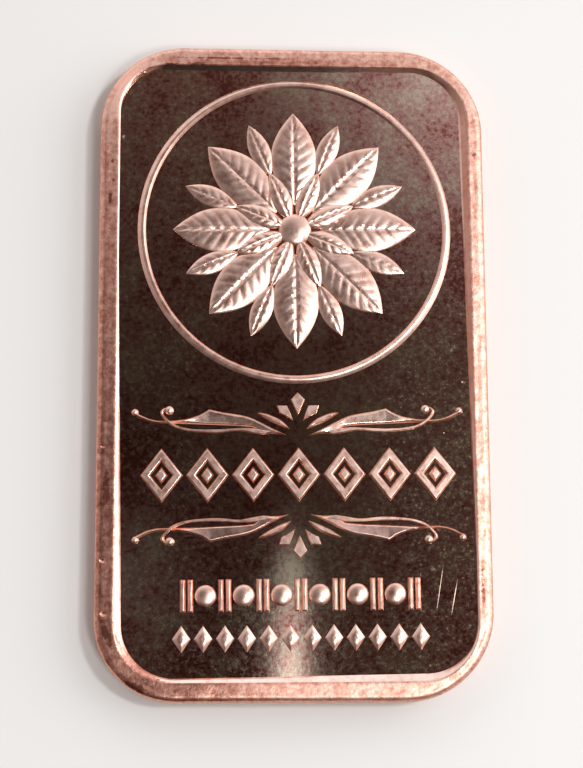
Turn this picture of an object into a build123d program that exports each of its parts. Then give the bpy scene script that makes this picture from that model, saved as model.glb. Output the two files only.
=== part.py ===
from build123d import *
from math import atan, degrees, sqrt
import os

# A struck copper bar of one ounce, lying on its back.
# Millimetres, +Z up, origin at the middle of the underside, +Y to the ring end.

# Blank
bar_length = 50.0
bar_width = 29.4
bar_thickness = 2.775
bar_corner_radius = 6.0
edge_round = 0.5

# Rim and the two sunk fields
side_land_width = 0.6
end_land_width = 0.85
bevel_width = 0.5
field_corner_radius = 3.9
front_field_depth = 0.4
back_field_depth = 0.3

# The die met the blank a little off centre and a little turned
strike_shift_x = 0.25
strike_shift_y = 0.2
strike_turn = 0.6

# Relief starts this far under the field, so that it grows out of the metal
relief_root = 0.12

# Ring round the medallion
ring_centre_y = 10.35
ring_outer_radius = 11.95
ring_foot_width = 0.62
ring_crest_width = 0.28
ring_height = 0.2

# Rosette inside the ring
rosette_count = 8
outer_leaf_start = 1.9
outer_leaf_end = 9.3
outer_leaf_half_width = 1.75
outer_leaf_height = 0.27
sepal_start = 4.6
sepal_end = 9.0
sepal_half_width = 0.8
sepal_height = 0.18
inner_leaf_start = 0.7
inner_leaf_end = 4.9
inner_leaf_half_width = 0.85
inner_leaf_height = 0.33
boss_radius = 1.25
boss_height = 0.36
boss_bevel = 0.5

# Band of lozenges across the bar, between the two flourishes
band_centre_y = -8.5
lozenge_count = 7
lozenge_pitch = 3.4
lozenge_width = 3.2
lozenge_length = 4.1
lozenge_stroke = 0.62
lozenge_height = 0.26
stud_width = 0.95
stud_length = 1.25
stud_height = 0.26
relief_bevel = 0.16

# Flourishes, mirrored about the middle of the band and about the bar's axis
flourish_gap = 2.87
flourish_rise = 3.38
flourish_half_span = 12.15
blade_height = 0.2
tail_height = 0.17
end_ball_radius = 0.36
end_ball_height = 0.22

# Bead-and-reel row
reel_row_y = -17.4
bead_count = 6
bead_pitch = 2.8
bead_radius = 0.8
bead_height = 0.28
bead_bevel = 0.4
reel_length = 2.4
reel_width = 0.4
reel_spacing = 0.56
reel_height = 0.22
reel_bevel = 0.1

# Row of small lozenges
facet_row_y = -20.55
facet_count = 12
facet_pitch = 1.6
facet_width = 1.35
facet_length = 1.95
facet_height = 0.24
facet_bevel = 0.3

# Outlines of the flourish, as shares of its half span and of its rise
blade_top_shares = [
    (0.064, 0.024), (0.19, 0.246), (0.313, 0.453), (0.432, 0.536), (0.546, 0.624),
]
stem_top_shares = [
    (0.546, 0.624), (0.593, 0.518), (0.65, 0.441), (0.788, 0.367), (0.893, 0.394), (1.0, 0.57),
]
stem_foot_shares = [
    (1.01, 0.5), (0.9, 0.33), (0.788, 0.305), (0.65, 0.293), (0.469, 0.266), (0.3, 0.225),
    (0.2, 0.17),
]
barb_foot_shares = [(0.241, 0.0), (0.2, 0.05), (0.13, 0.058), (0.064, 0.024)]
tail_top_shares = [
    (0.17, 0.13), (0.25, 0.183), (0.36, 0.201), (0.469, 0.178), (0.576, 0.172), (0.679, 0.201),
    (0.757, 0.29), (0.802, 0.408), (0.824, 0.54), (0.805, 0.62),
]
tail_foot_shares = [
    (0.82, 0.66), (0.846, 0.571), (0.825, 0.4), (0.77, 0.235), (0.679, 0.136), (0.576, 0.098),
    (0.469, 0.098), (0.362, 0.127), (0.3, 0.09), (0.22, 0.045),
]
leaf_top_shares = [(0.257, 0.54), (0.16, 0.47), (0.05, 0.16)]
leaf_foot_shares = [(0.05, 0.16), (0.16, 0.32), (0.257, 0.54)]
petal_shares = [
    (0.132, 0.701), (0.066, 0.698), (0.045, 0.527), (0.03, 0.352), (0.082, 0.47), (0.115, 0.524),
]
kite_shares = [(0.0, 1.0), (0.044, 0.828), (0.0, 0.482), (-0.044, 0.828)]
stem_ball_share = (1.0, 0.56)
tail_ball_share = (0.79, 0.6)

half_share = 1 / 2


def level(height):
    return Plane.XY.offset(height)


def rounded_plate(length, width, corner, height):
    return level(height) * RectangleRounded(width, length, corner)


# Blank: a rounded rectangle with its rims rolled over front and back
blank = extrude(rounded_plate(bar_length, bar_width, bar_corner_radius, 0), bar_thickness)
blank = fillet(blank.edges().group_by(Axis.Z)[0] + blank.edges().group_by(Axis.Z)[-1], edge_round)

# Sunk fields, each with a bevel that climbs to the land of the rim
field_length = bar_length - 2 * (edge_round + end_land_width + bevel_width)
field_width = bar_width - 2 * (edge_round + side_land_width + bevel_width)


def field_pocket(depth):
    floor = rounded_plate(field_length, field_width, field_corner_radius, 0)
    mouth = rounded_plate(
        field_length + 2 * bevel_width,
        field_width + 2 * bevel_width,
        field_corner_radius + bevel_width,
        depth,
    )
    return loft([floor, mouth], ruled=True)


front_level = bar_thickness - front_field_depth
strike = Pos(strike_shift_x, strike_shift_y, front_level) * Rot(0, 0, strike_turn)
front_pocket = strike * field_pocket(front_field_depth)
back_pocket = Pos(0, 0, back_field_depth) * Rot(180, 0, 0) * field_pocket(back_field_depth)
body = blank - front_pocket - back_pocket


# Relief shapes, each standing on the field at height zero
def flat_relief(face, height):
    return Pos(0, 0, -relief_root) * extrude(face, relief_root + height)


def bevelled_relief(face, height, bevel):
    foot = Pos(0, 0, -relief_root) * extrude(face, relief_root)
    return foot + extrude(face, height, taper=degrees(atan(bevel / height)))


def lozenge(width, length):
    across = width * half_share
    along = length * half_share
    return make_face(Polyline((across, 0), (0, along), (-across, 0), (0, -along), close=True))


def leaf(start, end, half_width, height):
    """A ridged leaf along +X: its crest is an arc, and each half is that arc carried sideways and down."""
    middle = (start + end) * half_share
    crest_radius = (((end - start) * half_share) ** 2 + height**2) / (2 * height)
    reach = sqrt(crest_radius**2 - (crest_radius - height - relief_root) ** 2)
    crest = ThreePointArc(
        (middle - reach, 0, -relief_root), (middle, 0, height), (middle + reach, 0, -relief_root)
    )
    foot = Line((middle + reach, 0, -relief_root), (middle - reach, 0, -relief_root))
    fall = Vector(0, half_width, -height)
    buried_share = (height + relief_root) / height
    half = extrude(make_face(crest + foot), fall.length * buried_share, dir=fall)
    return half + mirror(half, about=Plane.XZ)


# Four tiers of relief: each is struck on what the tier before it left
tiers = [[], [], [], []]
standing, second_tier, third_tier, top_tier = tiers

# Ring: a low band with sloped sides
ring_middle = ring_outer_radius - ring_foot_width * half_share
ring_section = make_face(
    Polyline(
        (ring_middle - ring_foot_width * half_share, 0, -relief_root),
        (ring_middle + ring_foot_width * half_share, 0, -relief_root),
        (ring_middle + ring_foot_width * half_share, 0, 0),
        (ring_middle + ring_crest_width * half_share, 0, ring_height),
        (ring_middle - ring_crest_width * half_share, 0, ring_height),
        (ring_middle - ring_foot_width * half_share, 0, 0),
        close=True,
    )
)
medallion = Pos(0, ring_centre_y, 0)
standing.append(medallion * revolve(ring_section, Axis.Z))

# Rosette: long leaves, sepals between them, short leaves on top and a boss
outer_leaf = leaf(outer_leaf_start, outer_leaf_end, outer_leaf_half_width, outer_leaf_height)
sepal = leaf(sepal_start, sepal_end, sepal_half_width, sepal_height)
inner_leaf = leaf(inner_leaf_start, inner_leaf_end, inner_leaf_half_width, inner_leaf_height)
leaf_turn = 360 / rosette_count
for number in range(rosette_count):
    on_leaf = medallion * Rot(0, 0, number * leaf_turn)
    between = medallion * Rot(0, 0, (number + half_share) * leaf_turn)
    standing += [on_leaf * outer_leaf, between * sepal]
    inner_tier = third_tier if number % 2 else second_tier
    inner_tier.append(between * inner_leaf)
top_tier.append(medallion * bevelled_relief(Circle(boss_radius), boss_height, boss_bevel))

# Band: open lozenges, each round a stud
lozenge_inner_share = 1 - 2 * lozenge_stroke * (lozenge_width**2 + lozenge_length**2) ** half_share / (
    lozenge_width * lozenge_length
)
link = bevelled_relief(lozenge(lozenge_width, lozenge_length), lozenge_height, relief_bevel)
link -= Pos(0, 0, -relief_root) * extrude(
    lozenge(lozenge_width * lozenge_inner_share, lozenge_length * lozenge_inner_share),
    2 * relief_root + lozenge_height,
)
stud = bevelled_relief(lozenge(stud_width, stud_length), stud_height, relief_bevel)
for number in range(lozenge_count):
    place = Pos((number - (lozenge_count - 1) * half_share) * lozenge_pitch, band_centre_y, 0)
    standing += [place * link, place * stud]


# Flourishes: two blades, a leaf and a petal to each side, and a kite on the axis
def flourish_point(share):
    return (share[0] * flourish_half_span, flourish_gap + share[1] * flourish_rise)


def flourish_line(shares):
    return Spline(*[flourish_point(share) for share in shares])


def flourish_arc(shares):
    return ThreePointArc(*[flourish_point(share) for share in shares])


def joined(first, last):
    return Line(flourish_point(first), flourish_point(last))


blade = make_face(
    flourish_line(blade_top_shares)
    + flourish_line(stem_top_shares)
    + joined(stem_top_shares[-1], stem_foot_shares[0])
    + flourish_line(stem_foot_shares)
    + joined(stem_foot_shares[-1], barb_foot_shares[0])
    + flourish_line(barb_foot_shares)
)
tail = make_face(
    flourish_line(tail_top_shares)
    + joined(tail_top_shares[-1], tail_foot_shares[0])
    + flourish_line(tail_foot_shares)
    + joined(tail_foot_shares[-1], tail_top_shares[0])
)
side_leaf = make_face(flourish_arc(leaf_top_shares) + flourish_arc(leaf_foot_shares))
petal = make_face(Polyline(*[flourish_point(share) for share in petal_shares], close=True))
kite = make_face(Polyline(*[flourish_point(share) for share in kite_shares], close=True))
end_ball = flat_relief(Circle(end_ball_radius), end_ball_height)


def mirrored(solids, about):
    return solids + [mirror(solid, about=about) for solid in solids]


def on_band(solids):
    return [Pos(0, band_centre_y, 0) * solid for solid in mirrored(solids, Plane.XZ)]


blades = mirrored([flat_relief(face, blade_height) for face in (blade, side_leaf, petal)], Plane.YZ)
blades.append(bevelled_relief(kite, blade_height, relief_bevel))
tails = mirrored([flat_relief(tail, tail_height)], Plane.YZ)
ball_places = [Pos(*flourish_point(share), 0) for share in (stem_ball_share, tail_ball_share)]
balls = mirrored([place * end_ball for place in ball_places], Plane.YZ)
standing += on_band(blades)
second_tier += on_band(tails)
third_tier += on_band(balls)

# Bead-and-reel row
bead = bevelled_relief(Circle(bead_radius), bead_height, bead_bevel)
reel = bevelled_relief(Rectangle(reel_width, reel_length), reel_height, reel_bevel)
for number in range(bead_count):
    middle_x = (number - (bead_count - 1) * half_share) * bead_pitch
    standing.append(Pos(middle_x, reel_row_y, 0) * bead)
for number in range(bead_count + 1):
    middle_x = (number - bead_count * half_share) * bead_pitch
    for side in (-1, 1):
        standing.append(Pos(middle_x + side * reel_spacing * half_share, reel_row_y, 0) * reel)

# Row of small faceted lozenges
facet = bevelled_relief(lozenge(facet_width, facet_length), facet_height, facet_bevel)
for number in range(facet_count):
    middle_x = (number - (facet_count - 1) * half_share) * facet_pitch
    standing.append(Pos(middle_x, facet_row_y, 0) * facet)

# The struck bar: everything is one piece of metal
bar = body
for tier in tiers:
    bar += [strike * solid for solid in tier]
bar = bar.solid()
bar.label = "copper_bar"

os.makedirs("parts", exist_ok=True)
export_step(bar, "parts/copper_bar.step")
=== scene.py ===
# %% [markdown]
# # A struck copper bar
# The object is one piece of metal: a flat bar with round corners, pressed between two dies.
# The dies left a raised rim, a polished field and low relief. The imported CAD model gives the
# true size and place, and this lesson replaces its plain solid by one finely shaped mesh.

import bpy
import numpy as np
from mathutils import Matrix, Vector


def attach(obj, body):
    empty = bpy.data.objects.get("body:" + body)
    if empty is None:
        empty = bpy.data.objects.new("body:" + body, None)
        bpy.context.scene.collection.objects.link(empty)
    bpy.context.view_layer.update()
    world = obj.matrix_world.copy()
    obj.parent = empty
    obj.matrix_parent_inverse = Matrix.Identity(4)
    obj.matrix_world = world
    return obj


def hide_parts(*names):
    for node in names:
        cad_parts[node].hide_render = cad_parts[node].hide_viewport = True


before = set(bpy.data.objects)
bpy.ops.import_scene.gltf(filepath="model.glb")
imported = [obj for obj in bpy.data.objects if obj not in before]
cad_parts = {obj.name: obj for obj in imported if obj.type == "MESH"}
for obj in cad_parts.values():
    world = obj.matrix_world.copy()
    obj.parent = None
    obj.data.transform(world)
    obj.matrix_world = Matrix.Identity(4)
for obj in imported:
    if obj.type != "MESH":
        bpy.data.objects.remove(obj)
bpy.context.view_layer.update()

MM = 0.001

# %% [markdown]
# ## Sizes
# All lengths below are millimetres, and the same as in the CAD source, so that the mesh lies
# on the solid. The die met the blank slightly off centre and turned, which makes the rim
# wider on one side. Everything that the die shaped goes through `struck`.

# %% Sizes of the blank and the strike
BAR_LENGTH, BAR_WIDTH, BAR_THICKNESS = 50.0, 29.4, 2.775
CORNER_RADIUS, EDGE_ROUND = 6.0, 0.5
FRONT_DEPTH, BACK_DEPTH = 0.4, 0.3
STRIKE_SHIFT, STRIKE_TURN = (0.25, 0.2), np.radians(0.6)
RELIEF_ROOT = 0.12

FIELD_LEVEL = BAR_THICKNESS - FRONT_DEPTH


def about_z(points, angle):
    """Points turned about the z axis: x cos - y sin, x sin + y cos."""
    c, s = np.cos(angle), np.sin(angle)
    x, y, z = np.moveaxis(points, -1, 0)
    return np.stack([c * x - s * y, s * x + c * y, z], -1)


def struck(points):
    """Die plane to bar: turn by the strike's angle, shift, and lift z from the field's level."""
    return about_z(points, STRIKE_TURN) + [*STRIKE_SHIFT, FIELD_LEVEL]


print("field level", FIELD_LEVEL, "mm above the floor")

# %% [markdown]
# ## One way to make every shape
# A blank, a ring, a leaf and a bead have one thing in common: each is a row of closed loops.
# If the loops are an array of rows by points, the faces follow from the array's shape alone.
# The ends are closed by one face each, or the last row joins the first, as on a ring.
# A negative volume means that the faces point inwards, and they are turned.

# %% Closed shells from rows of loops
FIELD, RELIEF, RIM, EDGE, BLADE, BEVEL = range(6)


def six_volumes(a, b, c):
    """Six times the signed volume between triangles and the origin: a times the cross of b and c."""
    return np.einsum("ij,ij->", a, np.cross(b, c))


def closed_shell(rows, joined=False, finish=RELIEF, ends=(RELIEF, RELIEF)):
    """Vertices, faces and finishes of a grid of loops: quads between neighbouring rows and
    neighbouring points, wrapped round each loop, and a cap on the first and last row. The
    finish is one number, or an array that spreads over the quads."""
    rows = np.asarray(rows, float)
    count, size = rows.shape[:2]
    index = np.arange(count * size).reshape(count, size)
    low = index if joined else index[:-1]
    high = np.roll(index, -1, 0) if joined else index[1:]
    quads = np.stack(
        [low, np.roll(low, -1, 1), np.roll(high, -1, 1), high], -1
    ).reshape(-1, 4)
    points = rows.reshape(-1, 3)
    p, q, r, s = np.moveaxis(points[quads], 1, 0)
    volume = six_volumes(p, q, r) + six_volumes(p, r, s)
    caps = [] if joined else [index[0][::-1].tolist(), index[-1].tolist()]
    for cap in caps:
        ring = points[cap]
        volume += six_volumes(np.broadcast_to(ring[0], ring[2:].shape), ring[1:-1], ring[2:])
    kinds = np.broadcast_to(finish, low.shape).ravel().tolist() + ([] if joined else list(ends))
    faces = quads.tolist() + caps
    if volume < 0:
        faces = [face[::-1] for face in faces]
    return points, faces, kinds


def joined_mesh(name, shells):
    """One mesh object from several shells, in metres, with each face's finish as its slot."""
    starts = np.cumsum([0] + [len(shell[0]) for shell in shells])
    points = np.concatenate([shell[0] for shell in shells]) * MM
    faces = [
        [corner + int(start) for corner in face]
        for shell, start in zip(shells, starts)
        for face in shell[1]
    ]
    mesh = bpy.data.meshes.new(name)
    mesh.from_pydata(points, [], faces)
    mesh.polygons.foreach_set("material_index", np.concatenate([shell[2] for shell in shells]))
    made = bpy.data.objects.new(name, mesh)
    bpy.context.scene.collection.objects.link(made)
    return made


print("kinds of finish:", BEVEL + 1)

# %% [markdown]
# ## The blank with its rim
# The bar's side, rims and bevels are one profile carried round a rounded rectangle. Each
# point of the path has a corner centre and a direction, so an inset only shortens the step
# from the corner centre, and every row stays parallel to the outline.

# %% The path round the bar
CORNER_STEPS, SHORT_STEPS, LONG_STEPS = 32, 52, 104


def bar_path():
    """Corner signs and direction angles round the outline: a quarter turn at each corner, and
    straight runs on which the sign slides from one corner to the next. The second half of the
    way is the first with its signs changed and half a turn more."""
    turn = np.linspace(0, np.pi / 2, CORNER_STEPS, endpoint=False)
    long_run = np.linspace(-1, 1, LONG_STEPS, endpoint=False)
    short_run = np.linspace(-1, 1, SHORT_STEPS, endpoint=False)
    one = np.ones
    half_x = np.concatenate([one(LONG_STEPS), one(CORNER_STEPS), -short_run, -one(CORNER_STEPS)])
    half_y = np.concatenate([long_run, one(CORNER_STEPS), one(SHORT_STEPS), one(CORNER_STEPS)])
    half_angle = np.concatenate([
        np.zeros(LONG_STEPS), turn, np.full(SHORT_STEPS, np.pi / 2), turn + np.pi / 2])
    return (np.concatenate([half_x, -half_x]), np.concatenate([half_y, -half_y]),
            np.concatenate([half_angle, half_angle + np.pi]))


print("points round the bar:", len(bar_path()[0]))

# %% [markdown]
# The profile runs from the front field over the bevel, the land and the rolled edge, down the
# side and back under to the plain back field. Four lines guide it: the bevel's foot, its
# crest, the land's outer edge and the outline, each a rounded rectangle with its own corner
# radius. The foot follows the die, which is shifted and turned, while the crest stays parallel
# to the blank. So the bevel is wide at the lower left, where it catches the light, and narrow
# at the upper left.

# %% Four guiding lines and the rows between them
FOOT, CREST, LAND_EDGE, OUTLINE = range(4)
LINE_INSETS_X = np.array([1.56, 1.24, EDGE_ROUND, 0])
LINE_INSETS_Y = np.array([1.865, 1.37, EDGE_ROUND, 0])
LINE_RADII = np.array([3.9, 4.4, CORNER_RADIUS - EDGE_ROUND, CORNER_RADIUS])
LINE_SHIFTS_X = np.array([0.09, 0.14, 0, 0])
LINE_SHIFTS_Y = np.array([0.03, -0.03, 0, 0])
LINE_TURNS = np.radians([0.95, 0, 0, 0])
BEVEL_STEPS = np.array([0.0, 0.2, 0.4, 0.6, 0.7, 0.8, 0.9, 1.0])
BEVEL_DROPS = np.array([1.0, 0.765, 0.53, 0.294, 0.187, 0.103, 0.04, 0.0])
BEVEL_ROWS = len(BEVEL_STEPS)
LAND_STEPS = np.linspace(CREST, LAND_EDGE, 6)[1:-1]
ROUND_STEPS = np.linspace(0, np.pi / 2, 9)
SIDE_STEPS = 8


def half_profile(depth):
    """From the field's edge to the side: the place between the four lines, and the drop below
    the top."""
    place = np.concatenate([BEVEL_STEPS, LAND_STEPS, LAND_EDGE + np.sin(ROUND_STEPS)])
    round_drop = EDGE_ROUND * (1 - np.cos(ROUND_STEPS))
    drop = np.concatenate([depth * BEVEL_DROPS, 0 * LAND_STEPS, round_drop])
    return place, drop


front_place, front_drop = half_profile(FRONT_DEPTH)
back_place, back_drop = half_profile(BACK_DEPTH)
side_height = np.linspace(BAR_THICKNESS - EDGE_ROUND, EDGE_ROUND, SIDE_STEPS)[1:-1]
row_place = np.concatenate([front_place, np.full(len(side_height), OUTLINE), back_place[::-1]])
row_height = np.concatenate([BAR_THICKNESS - front_drop, side_height, back_drop[::-1]])
is_front = (np.arange(len(row_place)) < len(front_place))[:, None]
print("rows of the profile:", len(row_place))

# %% [markdown]
# In plan, every row is a rounded rectangle. Tumbling wore three corners of the blank rounder
# than the lower left one, and at the upper left the rim is thin. A larger radius draws a
# corner's centre inwards along both sides, so a point of the arc moves by the extra radius
# times its direction less the corner's signs. Along the straight runs the move fades out.

# %% Plan of every row
# Extra corner radius of the four lines, by the signs of the corner's x and y.
ROUNDER_CORNERS = {
    (-1, 1): [-0.75, -0.55, 0.45, 0.5], (1, 1): [0, 0, 0.45, 0.5], (1, -1): [0, 0, 0.55, 0.6],
}


def on_lines(values):
    """A value per row, between the values of the four lines, as a column."""
    return np.interp(row_place, range(4), values)[:, None]


sign_x, sign_y, angle = bar_path()
outward = np.stack([np.cos(angle), np.sin(angle)], -1)
out_x, out_y = outward.T
radius, row_turn = on_lines(LINE_RADII), on_lines(LINE_TURNS) * is_front
straight_x = BAR_WIDTH / 2 - on_lines(LINE_INSETS_X) - radius
straight_y = BAR_LENGTH / 2 - on_lines(LINE_INSETS_Y) - radius
flat_x = sign_x * straight_x + radius * out_x
flat_y = sign_y * straight_y + radius * out_y
for (side_x, side_y), extra_radii in ROUNDER_CORNERS.items():
    at_corner = (1 + side_x * sign_x) * (1 + side_y * sign_y) / 4
    extra = on_lines(extra_radii) * at_corner
    flat_x += extra * (out_x - side_x)
    flat_y += extra * (out_y - side_y)
plan = np.stack([
    flat_x - row_turn * flat_y + is_front * on_lines(LINE_SHIFTS_X),
    flat_y + row_turn * flat_x + is_front * on_lines(LINE_SHIFTS_Y),
], -1)
print("outline in mm:", np.round(np.ptp(plan[len(front_place) - 1], 0), 2).tolist())

# %% [markdown]
# The bevel's width is measured square to the outline, and moving the foot keeps it between a
# least and a most width. At the top it falls straight and steep, into the shade. Elsewhere a
# narrow slope keeps its angle: it stops above a short upright step, since a steeper one would
# throw the field's own reflection back at the camera.

# %% Width and slope of the bevel
TOP_FROM, TOP_FADE, TOP_WIDTH, ROOM_BELOW_TOP = 0.8, 0.2, 0.38, 2
SIDE_WIDTH, END_EXTRA, CORNER_EXTRA = 0.13, 0.12, 0.04
FULL_WIDTH, LEAST_SHARE = 0.62, 0.2

bevel_width = ((plan[BEVEL_ROWS - 1] - plan[0]) * outward).sum(-1)
top_share = np.clip((out_y - TOP_FROM) / TOP_FADE, 0, 1)
least_width = SIDE_WIDTH + END_EXTRA * np.abs(out_y) + CORNER_EXTRA * np.abs(np.sin(2 * angle))
most_width = TOP_WIDTH + ROOM_BELOW_TOP * (1 - np.clip(out_y, 0, 1)) ** 2
kept_width = np.clip(bevel_width, least_width, most_width)
inward_step = (1 - BEVEL_STEPS)[:, None] * (kept_width - bevel_width)
plan[:BEVEL_ROWS] -= inward_step[..., None] * outward
spared = (1 - np.clip(kept_width / FULL_WIDTH, LEAST_SHARE, 1)) * (1 - top_share)
print("bevel width in mm:", round(kept_width.min(), 2), "to", round(kept_width.max(), 2))

# %% [markdown]
# Small waves and dents in the land come from a seeded sum of sines and of round dips, because
# a rim that was handled is never quite even. They only take metal away.

# %% Waves and dents in the rim
WAVE_COUNT, WAVE_HEIGHT, WAVE_TURNS = 24, 0.006, (8, 90)
WAVE_SLANT, WAVE_CREST = 2.5, 1.6
DENT_COUNT, DENT_INSETS, DENT_SIZES, DENT_DEPTHS = 70, (0.0, 1.05), (0.12, 0.4), (0.01, 0.035)
LAND_FADES, LAND_INNER = (0.25, 0.15), 1.15

row_inset = on_lines(LINE_INSETS_X)[:, 0]
outline_row = plan[len(front_place) - 1]
step = np.linalg.norm(np.roll(outline_row, -1, 0) - outline_row, axis=1)
along = np.cumsum(step)[None, :]
dice = np.random.default_rng(29)
wave_turns = dice.integers(*WAVE_TURNS, WAVE_COUNT)
wave_start = dice.uniform(0, 2 * np.pi, WAVE_COUNT)
waves = np.sin(
    2 * np.pi * wave_turns * (along / along.max())[..., None] + wave_start
    + WAVE_SLANT * row_inset[:, None, None]
).mean(-1) * np.sqrt(WAVE_COUNT)
dent_place = dice.uniform(0, along.max(), DENT_COUNT)
dent_inset = dice.uniform(*DENT_INSETS, DENT_COUNT)
dent_size = dice.uniform(*DENT_SIZES, DENT_COUNT)
dent_deep = dice.uniform(*DENT_DEPTHS, DENT_COUNT)
gap = (along[..., None] - dent_place) ** 2 + (row_inset[:, None, None] - dent_inset) ** 2
dents = (dent_deep * np.exp(-gap / dent_size**2)).sum(-1)
on_land = (np.clip(row_inset / LAND_FADES[0], 0, 1)
           * np.clip((LAND_INNER - row_inset) / LAND_FADES[1], 0, 1))
sag = (on_land[:, None] * (WAVE_HEIGHT * (WAVE_CREST - waves).clip(0) + dents)).clip(0)
print("deepest dent in mm:", round(sag.max(), 3))

# %% [markdown]
# Heights and plan together give the rows, and smaller copies of the innermost row fill the
# field. Each face gets a finish: field, bevel, rim or edge. The bevel's foot is satin along the
# sides, and round the lower left corner wear took the polish off the bevel, crest first.

# %% The blank's shell
FIELD_STEPS = np.linspace(0.06, 1, 15)[:-1]
SLOPE_END, SATIN_FOOT_FROM, WORN_FROM, WORN_CREST_FROM = 0.8, 0.5, 0.45, 0.05
EDGE_ROWS_ABOVE, EDGE_ROWS_BELOW = 4, 3

upper = np.sign(row_height - BAR_THICKNESS / 2)[:, None]
height = row_height[:, None] - upper * sag
height[1:BEVEL_ROWS] += FRONT_DEPTH * np.outer(BEVEL_DROPS[1:], spared)
height[:BEVEL_ROWS] += FRONT_DEPTH * np.outer(BEVEL_DROPS - (1 - BEVEL_STEPS), top_share)
profile_rows = np.concatenate([plan, height[..., None]], -1)
middle = profile_rows[0].mean(0)
field_rows = middle + FIELD_STEPS[:, None, None] * (profile_rows[0] - middle)
blank_rows = np.concatenate([field_rows, profile_rows])

profile_finish = np.full((len(row_inset) - 1, len(angle)), RIM)
side_end = len(front_place) + len(side_height)
profile_finish[len(front_place) - EDGE_ROWS_ABOVE: side_end + EDGE_ROWS_BELOW] = EDGE
slope_rows = int((BEVEL_STEPS < SLOPE_END).sum())
profile_finish[:slope_rows] = BEVEL
profile_finish[-slope_rows:] = BEVEL
profile_finish[0, np.abs(out_x) > SATIN_FOOT_FROM] = RELIEF
reach = np.linspace(WORN_FROM, WORN_CREST_FROM, slope_rows)[:, None]
profile_finish[:slope_rows][(out_x < -reach) & (out_y < -reach)] = RIM
field_finish = np.full((len(field_rows), len(angle)), FIELD)
blank_finish = np.concatenate([field_finish, profile_finish])
blank = closed_shell(blank_rows, finish=blank_finish, ends=(FIELD, FIELD))
bar = joined_mesh("struck_bar", [blank])
print("blank: points", len(blank[0]), "faces", len(blank[1]))

# %% [markdown]
# ## Ring
# The ring is a low band with a flat crest and sloped sides, a profile carried round a circle.

# %% The ring's shell
RING_CENTRE_Y, RING_OUTER, RING_HEIGHT = 10.35, 11.95, 0.18
RING_INSETS = np.array([0, 0, 0.12, 0.22, 0.29, 0.35, 0.45, 0.5, 0.56, 0.62, 0.62])
RING_CLIMBS = np.array([0, 0, 0.5, 0.84, 0.97, 1.0, 1.0, 0.8, 0.42, 0, 0])
RING_STEPS = 360


def ring_shell():
    """A closed loop of insets and heights, turned about the ring's centre."""
    lift = RING_CLIMBS * RING_HEIGHT
    lift[[0, -1]] = -RELIEF_ROOT
    turn = np.linspace(0, 2 * np.pi, RING_STEPS, endpoint=False)
    radius = (RING_OUTER - RING_INSETS)[:, None]
    rows = np.stack([
        radius * np.cos(turn), RING_CENTRE_Y + radius * np.sin(turn),
        np.broadcast_to(lift[:, None], (len(lift), RING_STEPS)),
    ], -1)
    return closed_shell(struck(rows), joined=True)


tiers = [[], [], [], []]
tiers[0].append(ring_shell())
print("ring: points", len(tiers[0][0][0]))

# %% [markdown]
# ## Rosette
# A leaf is a function of two parameters: how far along it is, and how far across. Its width
# grows and shrinks along the length, it swells across, a groove follows the middle, and thin
# veins leave the groove slantwise. Long leaves, sepals between them, short leaves and a boss
# are laid over each other in tiers, as a die cutter would deepen one tier after another.

# %% The leaves
ROSETTE_COUNT = 8
LONG_LEAF = dict(start=1.9, end=9.3, half_width=1.75, height=0.27, steps=84, across=31, veins=9)
SEPAL = dict(start=4.6, end=9.0, half_width=0.8, height=0.18, steps=56, across=19, veins=6)
SHORT_LEAF = dict(start=0.7, end=4.9, half_width=0.85, height=0.33, steps=60, across=23, veins=6)
LEAF_TIP, LEAF_FALL, ARCH_SHAPE, ARCH_POWER = 0.12, 0.6, 2.4, 0.75
GROOVE_WIDTH, GROOVE_DEPTH = 0.09, 0.3
VEIN_SLANT, VEIN_FROM, VEIN_DEPTH, VEIN_END = 0.16, 0.2, 0.16, 6


def leaf_shell(start, end, half_width, height, steps, across, veins, turn):
    """Along u from 0 to 1 the half width is 4u(1-u) times the widest. Across v from -1 to 1 the
    height is a rounded arch, less a narrow groove at v = 0 and slanting vein grooves."""
    u = 0.5 - 0.5 * np.cos(np.linspace(LEAF_TIP, np.pi - LEAF_TIP, steps))[:, None]
    v = np.sin(np.linspace(-np.pi / 2, np.pi / 2, across))[None, :]
    swell = 4 * u * (1 - u)
    arch = (1 - np.abs(v) ** ARCH_SHAPE) ** ARCH_POWER
    groove = np.exp(-((v * swell * half_width / GROOVE_WIDTH) ** 2))
    phase = veins * (u - VEIN_SLANT * np.abs(v)) * 2 * np.pi
    vein = (np.clip(np.cos(phase), VEIN_FROM, 1) - VEIN_FROM) * (1 - np.abs(v) ** VEIN_END)
    lift = height * swell**LEAF_FALL * arch * (1 - GROOVE_DEPTH * groove - VEIN_DEPTH * vein)
    x = start + (end - start) * u + 0 * v
    y = half_width * swell * v
    top = np.stack([x, y, lift], -1)
    edge = np.stack([top[:, -1], top[:, 0]], 1)
    edge[..., 2] = -RELIEF_ROOT
    rows = np.concatenate([top, edge], 1)
    return closed_shell(struck(about_z(rows, turn) + [0, RING_CENTRE_Y, 0]))


for number in range(ROSETTE_COUNT):
    on_leaf = 2 * np.pi * number / ROSETTE_COUNT
    between = on_leaf + np.pi / ROSETTE_COUNT
    tiers[0].append(leaf_shell(turn=on_leaf, **LONG_LEAF))
    tiers[2 - number % 2].append(leaf_shell(turn=between, **SEPAL))
    tiers[1 + number % 2].append(leaf_shell(turn=between, **SHORT_LEAF))
print("leaves:", 3 * ROSETTE_COUNT)

# %% [markdown]
# ## Beads
# A bead is half an egg: rings that shrink towards the top, on a short root below the field.

# %% Round beads
BEAD_TOP = 0.47 * np.pi
BOSS_RADIUS, BOSS_HEIGHT = 1.25, 0.37


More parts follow.
